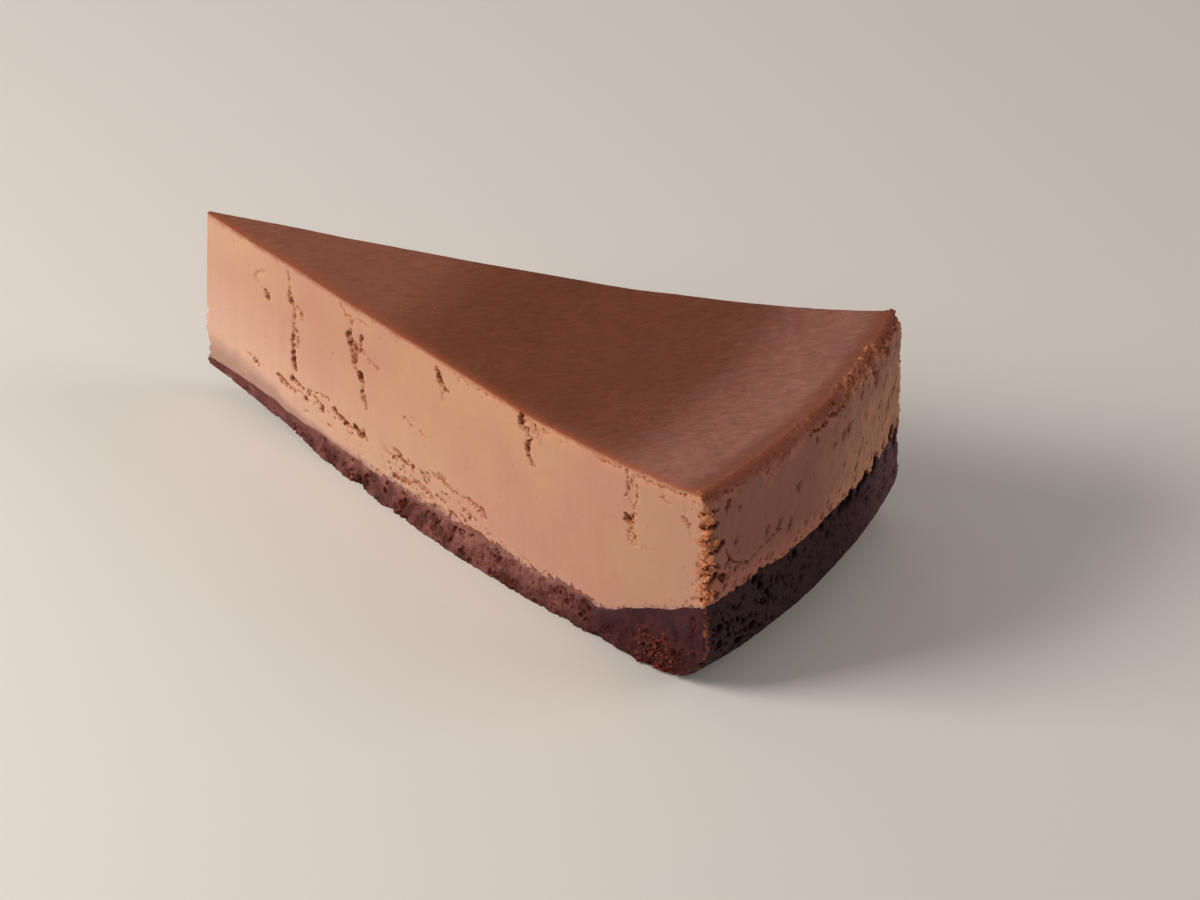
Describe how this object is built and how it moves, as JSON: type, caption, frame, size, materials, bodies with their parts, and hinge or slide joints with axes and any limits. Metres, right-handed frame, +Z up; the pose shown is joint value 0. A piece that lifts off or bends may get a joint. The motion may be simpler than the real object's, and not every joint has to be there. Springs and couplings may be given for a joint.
{
  "type": "chocolate cheesecake slice",
  "caption": "Wedge of baked chocolate cheesecake: a smooth chocolate filling with a sunken baked top, on a dark crumb crust that climbs at the rim.",
  "frame": {"origin": "on the base, midway between the tip of the wedge and the rim, on the wedge's middle line", "axes": "+X from the tip to the middle of the rim, +Y to the far cut, +Z up to the baked top"},
  "size_m": [0.1231, 0.0606, 0.04],
  "materials": {
    "crumb_crust": "pressed dark cocoa biscuit crumb, coarse, with small holes",
    "chocolate_filling": "dense baked chocolate cream, smooth where the knife cut it, torn in places, with a darker baked top"
  },
  "bodies": {
    "root": {"crust": "crumb_crust", "filling": "chocolate_filling"}
  },
  "joints": []
}
